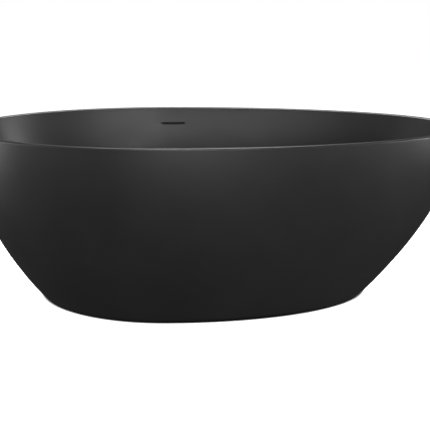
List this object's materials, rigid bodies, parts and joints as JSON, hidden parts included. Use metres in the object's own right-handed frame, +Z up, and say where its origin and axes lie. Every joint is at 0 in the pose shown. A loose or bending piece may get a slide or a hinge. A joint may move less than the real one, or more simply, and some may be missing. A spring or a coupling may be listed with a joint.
{
  "type": "freestanding bathtub",
  "caption": "Egg-shaped freestanding bathtub with a thin rim, a slot overflow, a press-to-close waste and levelling feet on a steel frame.",
  "frame": {"origin": "on the floor, under the middle of the overall length and width", "axes": "+X along the tub to its long end, +Y to the overflow side, +Z up"},
  "size_m": [1.7, 0.8, 0.6],
  "materials": {
    "shell": "matte black acrylic",
    "adhesive": "cured adhesive",
    "board": "sealed chipboard",
    "frame_paint": "grey powder coat",
    "black_plastic": "moulded black",
    "block_wood": "sawn softwood",
    "zinc_steel": "zinc plated",
    "foot_rubber": "black rubber",
    "chrome": "polished",
    "seal_rubber": "soft black rubber",
    "pipe_plastic": "white moulded plastic",
    "hose_plastic": "grey ribbed hose",
    "brass": "turned brass",
    "spring_steel": "spring wire"
  },
  "bodies": {
    "root": {"basin": "shell", "skirt": "shell", "rim_bond": "adhesive", "base_board": "board", "rail_front": "frame_paint", "rail_back": "frame_paint", "cross_tube_left": "frame_paint", "cross_tube_middle": "frame_paint", "cross_tube_right": "frame_paint", "overflow_box": "black_plastic", "tube_caps": "black_plastic", "skirt_block_left_front": "block_wood", "skirt_block_left_back": "block_wood", "skirt_block_middle_front": "block_wood", "skirt_block_middle_back": "block_wood", "skirt_block_right_front": "block_wood", "skirt_block_right_back": "block_wood", "block_screws": "zinc_steel", "board_screws": "zinc_steel", "weld_nuts": "zinc_steel", "jam_nuts": "zinc_steel", "hose_clamps": "zinc_steel", "waste_flange": "chrome", "flange_seal": "seal_rubber", "shoe_gasket": "seal_rubber", "outlet_washer": "seal_rubber", "overflow_gasket": "seal_rubber", "waste_shoe": "pipe_plastic", "tailpiece": "pipe_plastic", "outlet_nut": "pipe_plastic", "overflow_hose": "hose_plastic", "plug_cartridge": "brass", "plug_spring": "spring_steel"},
    "plug": {"plug_cap": "chrome", "plug_seal": "seal_rubber", "plug_stem": "chrome"},
    "foot_1_pad": {"foot_pad_1": "black_plastic", "foot_sole_1": "foot_rubber"},
    "foot_1_stud": {"foot_stud_1": "zinc_steel"},
    "foot_2_pad": {"foot_pad_2": "black_plastic", "foot_sole_2": "foot_rubber"},
    "foot_2_stud": {"foot_stud_2": "zinc_steel"},
    "foot_3_pad": {"foot_pad_3": "black_plastic", "foot_sole_3": "foot_rubber"},
    "foot_3_stud": {"foot_stud_3": "zinc_steel"},
    "foot_4_pad": {"foot_pad_4": "black_plastic", "foot_sole_4": "foot_rubber"},
    "foot_4_stud": {"foot_stud_4": "zinc_steel"},
    "foot_5_pad": {"foot_pad_5": "black_plastic", "foot_sole_5": "foot_rubber"},
    "foot_5_stud": {"foot_stud_5": "zinc_steel"}
  },
  "joints": [
    {"name": "plug_press", "type": "slide", "parent": "root", "child": "plug", "axis": [0, 0, 1], "range_m": [-0.009, 0], "stiffness_N_per_m": 500, "springref_m": 0.008, "deforming": ["plug_spring"]},
    {"name": "foot_1_height", "type": "slide", "parent": "root", "child": "foot_1_pad", "axis": [0, 0, 1], "range_m": [-0.02, 0.008]},
    {"name": "foot_1_turn", "type": "hinge", "parent": "foot_1_pad", "child": "foot_1_stud", "pos_m": [-0.43, -0.16, 0.013], "axis": [0, 0, 1], "range_deg": [-4116, 1647]},
    {"name": "foot_2_height", "type": "slide", "parent": "root", "child": "foot_2_pad", "axis": [0, 0, 1], "range_m": [-0.02, 0.008]},
    {"name": "foot_2_turn", "type": "hinge", "parent": "foot_2_pad", "child": "foot_2_stud", "pos_m": [-0.43, 0.16, 0.013], "axis": [0, 0, 1], "range_deg": [-4116, 1647]},
    {"name": "foot_3_height", "type": "slide", "parent": "root", "child": "foot_3_pad", "axis": [0, 0, 1], "range_m": [-0.02, 0.008]},
    {"name": "foot_3_turn", "type": "hinge", "parent": "foot_3_pad", "child": "foot_3_stud", "pos_m": [0.33, -0.16, 0.013], "axis": [0, 0, 1], "range_deg": [-4116, 1647]},
    {"name": "foot_4_height", "type": "slide", "parent": "root", "child": "foot_4_pad", "axis": [0, 0, 1], "range_m": [-0.02, 0.008]},
    {"name": "foot_4_turn", "type": "hinge", "parent": "foot_4_pad", "child": "foot_4_stud", "pos_m": [0.33, 0.16, 0.013], "axis": [0, 0, 1], "range_deg": [-4116, 1647]},
    {"name": "foot_5_height", "type": "slide", "parent": "root", "child": "foot_5_pad", "axis": [0, 0, 1], "range_m": [-0.02, 0.008]},
    {"name": "foot_5_turn", "type": "hinge", "parent": "foot_5_pad", "child": "foot_5_stud", "pos_m": [0.02, 0, 0.013], "axis": [0, 0, 1], "range_deg": [-4116, 1647]}
  ],
  "couplings": [
    {"joint": "foot_1_turn", "follows": "foot_1_height", "rad_per_m": 3590.4},
    {"joint": "foot_2_turn", "follows": "foot_2_height", "rad_per_m": 3590.4},
    {"joint": "foot_3_turn", "follows": "foot_3_height", "rad_per_m": 3590.4},
    {"joint": "foot_4_turn", "follows": "foot_4_height", "rad_per_m": 3590.4},
    {"joint": "foot_5_turn", "follows": "foot_5_height", "rad_per_m": 3590.4}
  ]
}
